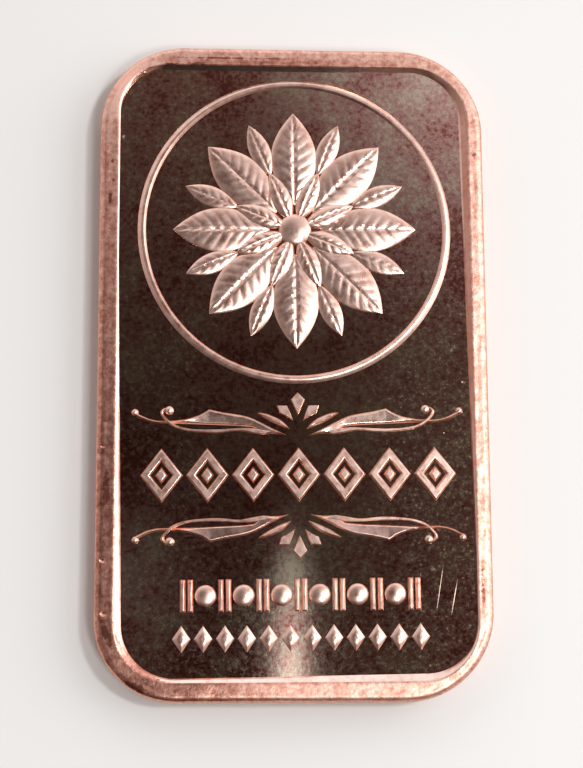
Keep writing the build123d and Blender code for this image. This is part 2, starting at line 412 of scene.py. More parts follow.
def bead_shell(x, y, radius, height, steps=28, rings=8):
    """Rings at rising angles: radius times the cosine and height times the sine of the angle."""
    rise = np.linspace(0, BEAD_TOP, rings)
    size = np.concatenate([[radius], radius * np.cos(rise)])[:, None]
    lift = np.concatenate([[-RELIEF_ROOT], height * np.sin(rise)])[:, None]
    turn = np.linspace(0, 2 * np.pi, steps, endpoint=False)
    rows = np.stack([x + size * np.cos(turn), y + size * np.sin(turn), lift + 0 * turn], -1)
    return closed_shell(struck(rows))


tiers[3].append(bead_shell(0, RING_CENTRE_Y, BOSS_RADIUS, BOSS_HEIGHT, steps=48, rings=12))
print("boss: points", len(tiers[3][0][0]))

# %% [markdown]
# ## Cut-stone shapes
# Lozenges, studs, kites, petals and reels are outlines with a sloped wall. Moving an outline
# inwards by the same distance on every side needs one mitre vector per corner, which is the
# sum of the two neighbouring inward normals over one plus their cosine.

# %% Shapes with mitred corners
# A slope from its foot to its rounded shoulder: insets in bevel widths, and shares of the height.
WALL_INSETS = np.array([0, 0, 0.45, 0.85, 1.2, 1.5])
LINK_INSETS = np.array([0, 0, 0.4, 0.75, 1.05, 1.35])
WALL_CLIMBS = np.array([0, 0, 0.5, 0.82, 0.96, 1.0])


def mitres(outline):
    """Inward step per corner that moves both neighbouring sides in by one millimetre."""
    side = np.roll(outline, -1, 0) - outline
    side = side / np.linalg.norm(side, axis=1, keepdims=True)
    after = np.stack([-side[:, 1], side[:, 0]], -1)
    before = np.roll(after, 1, 0)
    return (before + after) / (1 + (before * after).sum(1, keepdims=True))


def cut_rows(outline, insets, lifts):
    """One loop per pair of inset and lift."""
    outline = np.asarray(outline, float)
    flat = outline + np.asarray(insets)[:, None, None] * mitres(outline)
    lifted = np.broadcast_to(np.asarray(lifts)[:, None, None], flat.shape[:2] + (1,))
    return np.concatenate([flat, lifted], -1)


def wall_lifts(height):
    """The wall's heights, from the root below the field to the top."""
    lifts = WALL_CLIMBS * height
    lifts[0] = -RELIEF_ROOT
    return lifts


def cut_shell(outline, height, bevel):
    """A solid with a sloped wall that is a little rounded at its shoulder."""
    return closed_shell(struck(cut_rows(outline, WALL_INSETS * bevel, wall_lifts(height))))


def link_shell(outline, stroke, height, bevel):
    """An open link: the wall rises, runs level and falls again at the inner edge."""
    rise, climb = LINK_INSETS * bevel, wall_lifts(height)
    insets = np.concatenate([rise, stroke - rise[::-1]])
    lifts = np.concatenate([climb, climb[::-1]])
    return closed_shell(struck(cut_rows(outline, insets, lifts)), joined=True)


def lozenge(x, y, width, length):
    """Four corners, counterclockwise."""
    return np.array([x, y]) + np.array([[1, 0], [0, 1], [-1, 0], [0, -1]]) * [width / 2, length / 2]


def block(x, y, width, length):
    """A rectangle's four corners, counterclockwise."""
    return np.array([x, y]) + np.array([[1, -1], [1, 1], [-1, 1], [-1, -1]]) * [width / 2, length / 2]


print("rows in a sloped wall:", len(WALL_INSETS))

# %% [markdown]
# Under the ring a chain of open lozenges fills the middle, with a bead-and-reel row and a row
# of small lozenges below it. These are old border patterns, and each is one shape repeated at
# an even pitch about the middle of the bar.

# %% The band of lozenges and the two rows under it
BAND_Y, LOZENGE_COUNT, LOZENGE_PITCH = -8.5, 7, 3.4
LOZENGE_SIZE, LOZENGE_STROKE, LOZENGE_HEIGHT, LOZENGE_BEVEL = (3.2, 4.1), 0.62, 0.26, 0.11
STUD_SIZE, STUD_HEIGHT, STUD_BEVEL = (0.95, 1.25), 0.26, 0.12
REEL_ROW_Y, BEAD_COUNT, BEAD_PITCH, BEAD_RADIUS, BEAD_HEIGHT = -17.4, 6, 2.8, 0.8, 0.28
REEL_SPACING, REEL_SIZE, REEL_HEIGHT, REEL_BEVEL = 0.56, (0.4, 2.4), 0.22, 0.1
FACET_ROW_Y, FACET_COUNT, FACET_PITCH = -20.55, 12, 1.6
FACET_SIZE, FACET_HEIGHT, FACET_BEVEL = (1.35, 1.95), 0.24, 0.3


def even_places(count, pitch):
    """Places at an even pitch about the middle."""
    return (np.arange(count) - (count - 1) / 2) * pitch


for x in even_places(LOZENGE_COUNT, LOZENGE_PITCH):
    frame_outline = lozenge(x, BAND_Y, *LOZENGE_SIZE)
    tiers[0].append(link_shell(frame_outline, LOZENGE_STROKE, LOZENGE_HEIGHT, LOZENGE_BEVEL))
    tiers[0].append(cut_shell(lozenge(x, BAND_Y, *STUD_SIZE), STUD_HEIGHT, STUD_BEVEL))
for x in even_places(BEAD_COUNT, BEAD_PITCH):
    tiers[0].append(bead_shell(x, REEL_ROW_Y, BEAD_RADIUS, BEAD_HEIGHT))
for x in even_places(BEAD_COUNT + 1, BEAD_PITCH):
    for reel_x in (x - REEL_SPACING / 2, x + REEL_SPACING / 2):
        tiers[0].append(cut_shell(block(reel_x, REEL_ROW_Y, *REEL_SIZE), REEL_HEIGHT, REEL_BEVEL))
for x in even_places(FACET_COUNT, FACET_PITCH):
    tiers[0].append(cut_shell(lozenge(x, FACET_ROW_Y, *FACET_SIZE), FACET_HEIGHT, FACET_BEVEL))
print("shells on the field so far:", len(tiers[0]))

# %% [markdown]
# ## Flourishes
# A blade of the flourish is a strip between two curves. Across the strip the height rises from
# both edges as a quarter wave and runs level between. The curves are natural cubic splines
# through a few points, which are given as shares of the flourish's half span and rise.

# %% Smooth curves and strips between them
FLOURISH_GAP, FLOURISH_RISE, FLOURISH_HALF_SPAN = 2.87, 3.38, 12.15


def in_millimetres(shares):
    """Shares of the half span and the rise, from the middle of the band."""
    return [0, FLOURISH_GAP] + np.asarray(shares) * [FLOURISH_HALF_SPAN, FLOURISH_RISE]


def smooth_curve(shares, count):
    """Natural cubic spline by chord length: the second slopes solve a three-banded system."""
    p = in_millimetres(shares)
    t = np.concatenate([[0], np.cumsum(np.linalg.norm(np.diff(p, axis=0), axis=1))])
    h, inner = np.diff(t), np.arange(1, len(p) - 1)
    bands = np.eye(len(p))
    bands[inner, inner - 1], bands[inner, inner + 1] = h[:-1], h[1:]
    bands[inner, inner] = 2 * (h[:-1] + h[1:])
    pull = np.zeros_like(p)
    pull[1:-1] = 6 * (np.diff(p[1:], axis=0) / h[1:, None] - np.diff(p[:-1], axis=0) / h[:-1, None])
    bend = np.linalg.solve(bands, pull)
    s = np.linspace(0, t[-1], count)
    k = np.clip(np.searchsorted(t, s, side="right") - 1, 0, len(h) - 1)
    a, b, w = (t[k + 1] - s)[:, None], (s - t[k])[:, None], h[k][:, None]
    return ((bend[k] * a**3 + bend[k + 1] * b**3) / (6 * w)
            + (p[k] / w - bend[k] * w / 6) * a + (p[k + 1] / w - bend[k + 1] * w / 6) * b)


STRIP_STEPS = np.array([0.0, 0.03, 0.07, 0.11, 0.15, 0.2])
STRIP_SLOPE, LEAST_FACE, JUST_HALF = 0.15, 0.05, 0.499


def strip_shell(upper, lower, height, side, flip, fall=0.0):
    """Rows of points at fixed distances from either edge of a strip. The height rises as a
    quarter wave over the slope's width. With a fall, it drops evenly from the upper edge's
    ridge to the lower edge, by that share of the height, and the face between is smoother."""
    across = lower - upper
    width = np.linalg.norm(across, axis=1, keepdims=True)
    wide = width > 2 * STRIP_STEPS[-1]
    near = np.where(wide, STRIP_STEPS, JUST_HALF * width * STRIP_STEPS / STRIP_STEPS[-1])
    gone = np.concatenate([0 * width, near, width - near[:, ::-1], width], 1)
    flat = upper[:, None] + (across / width)[:, None, :] * gone[..., None]
    rise = np.sin(np.pi / 2 * np.minimum(near / STRIP_SLOPE, 1))
    rise = height * np.concatenate([rise, rise[:, ::-1]], 1)
    below_ridge = (gone[:, 1:-1] - STRIP_SLOPE) / np.maximum(width - STRIP_SLOPE, LEAST_FACE)
    rise = rise * (1 - fall * np.clip(below_ridge, 0, 1))
    root = np.full((len(flat), 1), -RELIEF_ROOT)
    lift = np.concatenate([root, rise, root], 1)
    finish = np.full(lift.shape, RELIEF)
    face = slice(len(STRIP_STEPS), len(lift[0]) - 2)
    finish[:, face] = np.where(wide & (fall > 0), BLADE, RELIEF)
    rows = np.concatenate([flat * [side, flip] + [0, BAND_Y], lift[..., None]], -1)
    return closed_shell(struck(rows), finish=finish[:-1])


print("points across a strip:", 2 * len(STRIP_STEPS) + 2)

# %% [markdown]
# One quarter of the flourish is drawn, and the other three are mirrored from it. A blade swells
# to a point and runs out into a thin stem, a tail crosses under the stem, and both end in a
# small ball. The barb at the blade's root is blended into the stem's lower curve.

# %% Curves of the flourish
BLADE_TOP = [(0.064, 0.024), (0.19, 0.246), (0.313, 0.453), (0.432, 0.536), (0.546, 0.624)]
STEM_TOP = [(0.546, 0.624), (0.593, 0.518), (0.65, 0.441), (0.788, 0.367), (0.893, 0.394), (1.0, 0.57)]
STEM_FOOT = [(0.2, 0.17), (0.3, 0.225), (0.469, 0.266), (0.65, 0.293), (0.788, 0.305), (0.9, 0.33),
             (1.01, 0.5)]
BARB_FOOT = [(0.064, 0.024), (0.13, 0.058), (0.2, 0.05), (0.241, 0.0)]
TAIL_TOP = [(0.17, 0.13), (0.25, 0.183), (0.36, 0.201), (0.469, 0.178), (0.576, 0.172), (0.679, 0.201),
            (0.757, 0.29), (0.802, 0.408), (0.824, 0.54), (0.805, 0.62)]
TAIL_FOOT = [(0.22, 0.045), (0.3, 0.09), (0.362, 0.127), (0.469, 0.098), (0.576, 0.098), (0.679, 0.136),
             (0.77, 0.235), (0.825, 0.4), (0.846, 0.571), (0.82, 0.66)]
LEAF_TOP = [(0.05, 0.16), (0.1, 0.36), (0.16, 0.47), (0.21, 0.53), (0.257, 0.54)]
LEAF_FOOT = [(0.05, 0.16), (0.1, 0.225), (0.16, 0.32), (0.21, 0.42), (0.257, 0.54)]
PETAL = [(0.132, 0.701), (0.066, 0.698), (0.045, 0.527), (0.03, 0.352), (0.082, 0.47), (0.115, 0.524)]
KITE = [(0.0, 1.0), (-0.044, 0.828), (0.0, 0.482), (0.044, 0.828)]
STEM_BALL, TAIL_BALL = (1.0, 0.56), (0.79, 0.6)

BLADE_POINTS, FOOT_POINTS, BARB_POINTS, TAIL_POINTS, LEAF_POINTS = 200, 300, 100, 90, 40
BARB_FROM, BARB_TO = 2.3, 3.5
BARB_STEPS, BLADE_STEPS, STEM_STEPS = 44, 36, 48
ROOT_GAP, BARB_GAP, CUSP_GAP = 0.03, 0.08, 0.02

top_line = np.concatenate([
    smooth_curve(BLADE_TOP, BLADE_POINTS), smooth_curve(STEM_TOP, BLADE_POINTS)[1:]])
foot_line, barb_line = smooth_curve(STEM_FOOT, FOOT_POINTS), smooth_curve(BARB_FOOT, BARB_POINTS)
cusp_x = top_line[BLADE_POINTS - 1, 0]
blade_x = np.concatenate([
    np.linspace(barb_line[0, 0] + ROOT_GAP, BARB_TO, BARB_STEPS),
    np.linspace(BARB_TO + BARB_GAP, cusp_x, BLADE_STEPS),
    np.linspace(cusp_x + CUSP_GAP, top_line[-1, 0], STEM_STEPS),
])
blade_top = np.stack([blade_x, np.interp(blade_x, *top_line.T)], -1)
barb_share = np.clip((BARB_TO - blade_x) / (BARB_TO - BARB_FROM), 0, 1)
barb_share = barb_share**2 * (3 - 2 * barb_share)
blade_foot = np.stack([
    blade_x,
    barb_share * np.interp(blade_x, *barb_line.T)
    + (1 - barb_share) * np.interp(blade_x, *foot_line.T),
], -1)
tail_top, tail_foot = smooth_curve(TAIL_TOP, TAIL_POINTS), smooth_curve(TAIL_FOOT, TAIL_POINTS)
leaf_top = smooth_curve(LEAF_TOP, LEAF_POINTS)[1:-1]
leaf_foot = smooth_curve(LEAF_FOOT, LEAF_POINTS)[1:-1]
print("blade from", round(blade_x[0], 2), "to", round(blade_x[-1], 2), "mm beside the middle")

# %% [markdown]
# An outline that is mirrored once runs the other way round, so its points are reversed before
# its wall is cut. Tails and end balls cross the blades' stems and go into later tiers.

# %% Four quarters of the flourishes
BLADE_HEIGHT, BLADE_FALL, SIDE_LEAF_HEIGHT, TAIL_HEIGHT = 0.2, 0.45, 0.22, 0.17
PETAL_HEIGHT, PETAL_BEVEL = 0.2, 0.05
STEM_BALL_RADIUS, TAIL_BALL_RADIUS, BALL_HEIGHT = 0.27, 0.33, 0.23


def flourish_places(shares, side, flip):
    """Shares to millimetres, mirrored to one side and to one flank of the band."""
    p = in_millimetres(shares) * [side, flip] + [0, BAND_Y]
    return p if side * flip > 0 else p[::-1]


for flip in (1, -1):
    for side in (1, -1):
        tiers[0].append(strip_shell(blade_top, blade_foot, BLADE_HEIGHT, side, flip, BLADE_FALL))
        tiers[0].append(strip_shell(leaf_top, leaf_foot, SIDE_LEAF_HEIGHT, side, flip))
        tiers[0].append(cut_shell(flourish_places(PETAL, side, flip), PETAL_HEIGHT, PETAL_BEVEL))
        tiers[1].append(strip_shell(tail_top, tail_foot, TAIL_HEIGHT, side, flip))
        for ball, radius in ((STEM_BALL, STEM_BALL_RADIUS), (TAIL_BALL, TAIL_BALL_RADIUS)):
            (x, y), = flourish_places([ball], side, flip)
            tiers[2].append(bead_shell(x, y, radius, BALL_HEIGHT, steps=20, rings=6))
    tiers[0].append(cut_shell(flourish_places(KITE, 1, flip), PETAL_HEIGHT, PETAL_BEVEL))
print("shells per tier:", [len(shells) for shells in tiers])

# %% [markdown]
# ## One piece of metal
# The shells of a tier do not touch each other, so each tier can be joined to the bar in one
# exact union. Four unions leave one closed skin with no hidden faces inside.

# %% Unite the tiers with the blank
for number, shells in enumerate(tiers):
    tool = joined_mesh(f"tier_{number}", shells)
    union = bar.modifiers.new("union", "BOOLEAN")
    union.operation, union.solver, union.object = "UNION", "MANIFOLD", tool
    bpy.context.view_layer.update()
    seen = bar.evaluated_get(bpy.context.evaluated_depsgraph_get())
    grown = bpy.data.meshes.new_from_object(seen)
    bar.modifiers.remove(union)
    old, bar.data = bar.data, grown
    bpy.data.meshes.remove(old)
    bpy.data.meshes.remove(tool.data)
    print("tier", number, "shells", len(shells), "faces", len(bar.data.polygons))

bar.data.name = "struck_bar"
triangles = sum(len(face.vertices) - 2 for face in bar.data.polygons)
print("triangles", triangles)

# %% [markdown]
# ## Shading
# Polished metal shows every wrong normal. Curved faces are shaded smoothly. Level faces stay
# flat, because their outlines have many sloping neighbours that would bend the light. Where
# the field meets anything that rises from it, the edge is sharp, as the die cut it.

# %% Smooth shading with sharp borders round the field
LEVEL_FROM, SHARP_FROM = 0.9995, np.radians(38)
mesh = bar.data
slots = np.empty(len(mesh.polygons), np.int32)
mesh.polygons.foreach_get("material_index", slots)
facing = np.empty(3 * len(mesh.polygons), np.float32)
mesh.polygons.foreach_get("normal", facing)
level = (slots != RIM) & (np.abs(facing[2::3]) > LEVEL_FROM)
mesh.set_sharp_from_angle(angle=SHARP_FROM)
mesh.polygons.foreach_set("use_smooth", ~level)
loop_edge = np.empty(len(mesh.loops), np.int32)
mesh.loops.foreach_get("edge_index", loop_edge)
sizes = np.empty(len(mesh.polygons), np.int32)
mesh.polygons.foreach_get("loop_total", sizes)
loop_slot = np.repeat(slots, sizes)
lowest = np.full(len(mesh.edges), BEVEL)
highest = np.full(len(mesh.edges), FIELD)
np.minimum.at(lowest, loop_edge, loop_slot)
np.maximum.at(highest, loop_edge, loop_slot)
sharp = np.empty(len(mesh.edges), bool)
mesh.edges.foreach_get("use_edge_sharp", sharp)
touches_field = (lowest == FIELD) & (highest > FIELD)
mesh.edges.foreach_set("use_edge_sharp", sharp | touches_field)
print("faces per finish", np.bincount(slots).tolist())

# %% [markdown]
# ## Materials
# Every finish is the same copper. Only the way that it was made smooth or rough differs, and
# the thin brown film that copper grows in air. A metal has no colour of its own under the
# surface, so the base colour tints what it reflects. Hex codes are sRGB, as in a picture
# editor, and `linear` turns them into the light values that a shader works with.

# %% Colours and one node helper
def linear(code):
    """An sRGB hex code as linear red, green, blue and alpha."""
    c = np.array([int(code[i:i + 2], 16) for i in (1, 3, 5)]) / 255
    c = np.where(c <= 0.04045, c / 12.92, ((c + 0.055) / 1.055) ** 2.4)
    return (*c.tolist(), 1.0)


def fill(tree, made, inputs):
    """Fills a node's inputs, by name or number: a socket is linked, a node stands for its first
    output, and anything else is set as the value."""
    for name, value in dict(inputs).items():
        if isinstance(value, bpy.types.Node):
            value = value.outputs[0]
        if isinstance(value, bpy.types.NodeSocket):
            tree.links.new(value, made.inputs[name])
        else:
            made.inputs[name].default_value = value


def add(tree, kind, inputs=(), stops=(), **settings):
    """Adds a node with its settings and inputs. Colour stops, each a position and a hex code in
    rising order, go on its ramp."""
    made = tree.nodes.new(kind)
    for name, value in settings.items():
        setattr(made, name, value)
    for _ in stops[2:]:
        made.color_ramp.elements.new(1.0)
    for number, (position, code) in enumerate(stops):
        stop = made.color_ramp.elements[number]
        stop.position, stop.color = position, linear(code)
    fill(tree, made, inputs)
    return made


def metal(name):
    """A new metal: its material, node tree, shader and the place on it in millimetres."""
    made = bpy.data.materials.new(name)
    made.use_nodes = True
    tree = made.node_tree
    shader = tree.nodes["Principled BSDF"]
    shader.inputs["Metallic"].default_value = 1.0
    metres = add(tree, "ShaderNodeTexCoord").outputs["Object"]
    place = add(tree, "ShaderNodeVectorMath", {0: metres, "Scale": 1 / MM}, operation="SCALE")
    return made, tree, shader, place


def surface(tree, shader, colour, rough, height, depth, strength):
    """Gives a metal its colour, its roughness, and fine relief from a height map, whose depth is
    in millimetres."""
    bump = add(tree, "ShaderNodeBump", {"Height": height, "Distance": depth * MM, "Strength": strength})
    fill(tree, shader, {"Base Color": colour, "Roughness": rough, "Normal": bump})


print("copper as linear light:", np.round(linear("#E2AA92")[:3], 3).tolist())

# %% [markdown]
# Scratches, stains and nicks sit where the photograph shows them. Each is an ellipse that is
# strongest in its middle and fades to its rim. The list of ellipses is all that differs, so
# one function serves the field and the rim.

# %% Marks as soft ellipses
ANY_HEIGHT = 1000
FIELD_MARKS = [
    (10.74, -16.7, 0.04, 2.15, -9.5), (11.8, -17.4, 0.05, 1.55, -11.0),
    (-12.95, 17.8, 0.14, 0.2, -20.0), (12.74, -1.2, 0.08, 0.08, 0.0), (11.28, -5.1, 0.06, 0.07, 0.0),
]


def marks(tree, place, ellipses):
    """The strongest of several soft ellipses, each given by its centre, its two half axes in
    millimetres and its turn in degrees: one minus the distance in half axes, never below zero.
    The third half axis is so long that height makes no difference."""
    strongest = 0.0
    for x, y, half_x, half_y, turn in ellipses:
        mapped = add(tree, "ShaderNodeMapping", {
            "Vector": place, "Location": (x, y, 0), "Rotation": (0, 0, np.radians(turn)),
            "Scale": (half_x, half_y, ANY_HEIGHT)}, vector_type="TEXTURE")
        spot = add(tree, "ShaderNodeTexGradient", {"Vector": mapped}, gradient_type="SPHERICAL")
        strongest = add(
            tree, "ShaderNodeMath", {0: spot.outputs["Fac"], 1: strongest}, operation="MAXIMUM")
    return strongest


print("marks on the field:", len(FIELD_MARKS))

# %% [markdown]
# ### The field
# The die's ground was polished, so the field came out as a dull mirror. It shows the dark room
# overhead, and only its tone tells that it is copper. Blotches a few millimetres wide and a
# fine cloud make the tone uneven. Towards the long sides the field is hazed by wear, which
# scatters some light. The real pits are about 0.05 mm; they are drawn four times as coarse,
# because finer ones would vanish between the picture's pixels.

# %% Mirror-struck field
BLOTCH_SIZE, CLOUD_SIZE, PIT_SIZE = 4.5, 0.32, 0.22
CLEAR_WITHIN, HAZED_FROM, LEAST_HAZE = 2.0, 8.0, 0.15
MIRROR_ROUGH, WORN_ROUGH, PIT_ROUGH, SCRATCH_ROUGH = 0.05, 0.06, 0.08, 0.26
PIT_SHARE, FIELD_GRAIN_DEPTH = 0.15, 0.0007


def field_metal():
    """Look: a dark brown mirror with a fine haze and two pale scratches. Its roughness is the
    mirror's, and more of it where wear, pits and scratches lie."""
    made, tree, shader, place = metal("mirror_struck_copper_field")
    blotch = add(tree, "ShaderNodeTexNoise", {
        "Vector": place, "Scale": 1 / BLOTCH_SIZE, "Detail": 4.0, "Roughness": 0.62})
    cloud = add(tree, "ShaderNodeTexNoise", {
        "Vector": place, "Scale": 1 / CLOUD_SIZE, "Detail": 3.0, "Roughness": 0.65})
    tone = add(tree, "ShaderNodeMix", {"Factor": 0.5, "A": blotch, "B": cloud})
    toned = add(tree, "ShaderNodeValToRGB", {"Fac": tone}, stops=(
        (0.4, "#A65F4D"), (0.47, "#CF9481"), (0.53, "#D3A68D"), (0.6, "#E4C5A2")))
    scored = add(tree, "ShaderNodeMapRange", {"Value": marks(tree, place, FIELD_MARKS), "From Max": 0.5})
    pale = add(tree, "ShaderNodeMix", {
        "Factor": scored, 6: toned, 7: linear("#E2BAA4")}, data_type="RGBA")
    sides = add(tree, "ShaderNodeSeparateXYZ", {0: place})
    away = add(tree, "ShaderNodeMath", {0: sides.outputs["X"]}, operation="ABSOLUTE")
    haze = add(tree, "ShaderNodeMapRange", {
        "Value": away, "From Min": CLEAR_WITHIN, "From Max": HAZED_FROM, "To Min": LEAST_HAZE})
    specks = add(tree, "ShaderNodeTexNoise", {"Vector": place, "Scale": 1 / PIT_SIZE, "Detail": 2.0})
    pits = add(tree, "ShaderNodeMapRange", {"Value": specks, "From Min": 0.55, "From Max": 0.72})
    pitted = add(tree, "ShaderNodeMath", {0: pits, 1: haze}, operation="MULTIPLY")
    worn = add(tree, "ShaderNodeMapRange", {"Value": cloud, "From Min": 0.42, "From Max": 0.66})
    wear = add(tree, "ShaderNodeMath", {0: worn, 1: haze}, operation="MULTIPLY")
    rough = MIRROR_ROUGH
    for share, more in ((wear, WORN_ROUGH), (pitted, PIT_ROUGH), (scored, SCRATCH_ROUGH)):
        rough = add(tree, "ShaderNodeMath", {0: share, 1: more, 2: rough}, operation="MULTIPLY_ADD")
    height = add(tree, "ShaderNodeMath", {0: pitted, 1: PIT_SHARE, 2: cloud}, operation="MULTIPLY_ADD")
    surface(tree, shader, pale.outputs[2], rough, height, FIELD_GRAIN_DEPTH, strength=0.8)
    return made


print("blotches, clouds and pits in mm:", BLOTCH_SIZE, CLOUD_SIZE, PIT_SIZE)

# %% [markdown]
# ### Relief, blades and bevel
# The relief was frosted in the die, so it scatters light softly and reads pale against the
# mirror. The flourish's blades and the bevel round the field took more polish. One function
# makes all three, since they differ only in how smooth and how pale they are. The bevel's
# paler colour is a painted highlight that whitens its reflections; on the right a darker tint
# takes it back towards plain copper.

# %% Satin relief, blades and bevel
PATCH_SIZE, SATIN_GRAIN, SATIN_DEPTH, WORN_FULLY_AT = 0.7, 0.12, 0.006, 8.0
# Painted highlight: the bevel's colours are paler than the relief's, so its reflections look white.
# These ellipses cover the right side, where the colour is darkened back towards plain copper.
BEVEL_LESS_PAINTED_HIGHLIGHT = [(13.2, 14.0, 8.0, 24.0, 0.0), (13.2, 2.0, 8.0, 24.0, 0.0)]


def relief_metal(name, smoothest, roughest, dark, light, worn=0.0, darkened_on=()):
    """Look: pale copper with a soft sheen, from the smoothest to the roughest patches. Worn
    metal grows duller towards the right. A darker tint lies on the given marks; on the bevel it
    takes back part of the pale colour, which is a painted highlight where it stays."""
    made, tree, shader, place = metal(name)
    cloud = add(tree, "ShaderNodeTexNoise", {
        "Vector": place, "Scale": 1 / PATCH_SIZE, "Detail": 4.0, "Roughness": 0.6})
    toned = add(tree, "ShaderNodeValToRGB", {"Fac": cloud}, stops=((0.3, dark), (0.55, light)))
    if darkened_on:
        toned = add(tree, "ShaderNodeMix", {
            "Factor": marks(tree, place, darkened_on), 6: toned, 7: linear("#DAAC9E"),
        }, data_type="RGBA", blend_type="MULTIPLY").outputs[2]
    rough = add(tree, "ShaderNodeMapRange", {
        "Value": cloud, "From Min": 0.3, "From Max": 0.7, "To Min": smoothest, "To Max": roughest})
    sides = add(tree, "ShaderNodeSeparateXYZ", {0: place})
    rightward = add(tree, "ShaderNodeMapRange", {
        "Value": sides.outputs["X"], "From Min": 0.0, "From Max": WORN_FULLY_AT})
    dulled = add(tree, "ShaderNodeMath", {0: rightward, 1: worn, 2: rough}, operation="MULTIPLY_ADD")
    grain = add(tree, "ShaderNodeTexNoise", {"Vector": place, "Scale": 1 / SATIN_GRAIN, "Detail": 2.0})
    surface(tree, shader, toned, dulled, grain, SATIN_DEPTH, strength=0.5)
    return made


print("patches and grain of the relief in mm:", PATCH_SIZE, SATIN_GRAIN)

# %% [markdown]
# ### Rim
# The rim is what hands touch: its shine is worn off, and stains gather along its inner edge.
# Brown film together with painted shade darkens its left side and the left of its foot, painted
# shade darkens the inner part of the top, and a painted sheen lightens the upper left corner.
# Film, painted shade, painted sheen and stains all shift one tone, and a single ramp colours
# it, so they blend as one skin would.

# %% Worn rim
RIM_BLOTCH, RIM_GRAIN, RIM_GRAIN_DEPTH, NICK_DEPTH = 0.6, 0.25, 0.022, -6.0
# Tone shifts: film with painted shade on the left, painted shade on the inner top, and a painted sheen
# whose negative shift lightens the upper left corner.
FILM_AND_SHADE_DARKENS, TOP_SHADE_DARKENS, PAINTED_SHEEN_TONE = 0.14, 0.2, -0.24
RUBBED_ROUGH, FILMED_ROUGH, SHINE_ROUGH = 0.42, 0.3, 0.2
RIM_STAINS = [
    (-11.75, 22.62, 0.7, 0.28, 38.0), (-10.9, 23.1, 0.6, 0.25, 25.0), (-9.6, 23.45, 0.9, 0.22, 8.0),
    (-7.4, 23.62, 0.9, 0.2, 0.0), (-4.5, 24.12, 5.5, 0.09, 0.0), (-13.9, 12.9, 0.2, 0.6, 0.0),
    (-13.75, 15.7, 0.16, 0.2, 0.0), (-13.7, 14.2, 0.14, 0.18, 0.0), (14.1, 16.6, 0.24, 0.3, 0.0),
    (13.9, -16.5, 0.2, 2.6, 0.0), (-13.9, -9.5, 0.3, 1.6, 0.0), (-13.8, -20.0, 0.3, 1.2, 20.0),
    (-11.6, -23.9, 1.5, 0.3, -20.0),
]
# Painted shade: this long ellipse darkens the inner part of the top rim.
RIM_TOP_PAINTED_SHADE = [(-1.0, 23.8, 13.0, 0.5, 0.0)]
# Painted sheen: this round patch lightens the rim's upper left corner.
RIM_PAINTED_SHEEN = [(-12.4, 21.9, 4.0, 4.0, 0.0)]
RIM_NICKS = [
    (-14.14, -14.75, 0.22, 0.16, 0.0), (-14.0, -18.6, 0.24, 0.2, 0.0), (-14.2, -6.3, 0.16, 0.12, 0.0),
]


def rim_metal():
    """Look: rubbed pink copper, mottled brown where film and stains have grown. Film and painted
    shade darken the left edge, more so lower down, and the left of the foot. Painted shade darkens
    the inner part of the top, and a painted sheen lightens the upper left corner."""
    made, tree, shader, place = metal("worn_copper_rim")
    sides = add(tree, "ShaderNodeSeparateXYZ", {0: place})
    x, y = sides.outputs["X"], sides.outputs["Y"]
    # Film and painted shade: darker beside the left edge, more so lower down, and along the left of the
    # foot.
    left = add(tree, "ShaderNodeMapRange", {"Value": x, "From Min": -11.0, "From Max": -13.5})
    lower = add(tree, "ShaderNodeMapRange", {
        "Value": y, "From Min": 20.0, "From Max": -6.0, "To Min": 0.15})
    beside = add(tree, "ShaderNodeMath", {0: left, 1: lower}, operation="MULTIPLY")
    leftward = add(tree, "ShaderNodeMapRange", {"Value": x, "From Min": 0.0, "From Max": -9.0})
    foot = add(tree, "ShaderNodeMapRange", {"Value": y, "From Min": -21.5, "From Max": -23.0})
    below = add(tree, "ShaderNodeMath", {0: leftward, 1: foot}, operation="MULTIPLY")
    film_and_shade = add(tree, "ShaderNodeMath", {0: beside, 1: below}, operation="MAXIMUM")
    # Painted shade on the inner top and a painted sheen on the upper left corner, both as shifts of the
    # tone.
    painted_sheen, painted_top_shade = marks(tree, place, RIM_PAINTED_SHEEN), marks(tree, place, RIM_TOP_PAINTED_SHADE)
    blotch = tone = add(tree, "ShaderNodeTexNoise", {
        "Vector": place, "Scale": 1 / RIM_BLOTCH, "Detail": 5.0, "Roughness": 0.8})
    for share, more in ((film_and_shade, FILM_AND_SHADE_DARKENS), (painted_top_shade, TOP_SHADE_DARKENS), (painted_sheen, PAINTED_SHEEN_TONE)):
        tone = add(tree, "ShaderNodeMath", {0: share, 1: more, 2: tone}, operation="MULTIPLY_ADD")
    ragged = add(tree, "ShaderNodeMapRange", {
        "Value": blotch, "From Min": 0.4, "From Max": 0.62, "To Min": 0.1, "To Max": 0.75})
    stained = add(tree, "ShaderNodeMath", {
        0: marks(tree, place, RIM_STAINS), 1: ragged, 2: tone}, operation="MULTIPLY_ADD")
    toned = add(tree, "ShaderNodeValToRGB", {"Fac": stained}, stops=(
        (0.28, "#FFC0AA"), (0.42, "#F4BCA5"), (0.6, "#D68F78"), (0.8, "#8C4F40")))
    rough = add(tree, "ShaderNodeMapRange", {
        "Value": film_and_shade, "To Min": RUBBED_ROUGH, "To Max": FILMED_ROUGH})
    rubbed = add(tree, "ShaderNodeMath", {0: painted_sheen, 1: SHINE_ROUGH, 2: rough}, operation="MULTIPLY_ADD")
    grain = add(tree, "ShaderNodeTexNoise", {
        "Vector": place, "Scale": 1 / RIM_GRAIN, "Detail": 4.0, "Roughness": 0.65})
    nicked = add(tree, "ShaderNodeMath", {
        0: marks(tree, place, RIM_NICKS), 1: NICK_DEPTH, 2: grain}, operation="MULTIPLY_ADD")
    surface(tree, shader, toned, rubbed, nicked, RIM_GRAIN_DEPTH, strength=0.8)
    return made


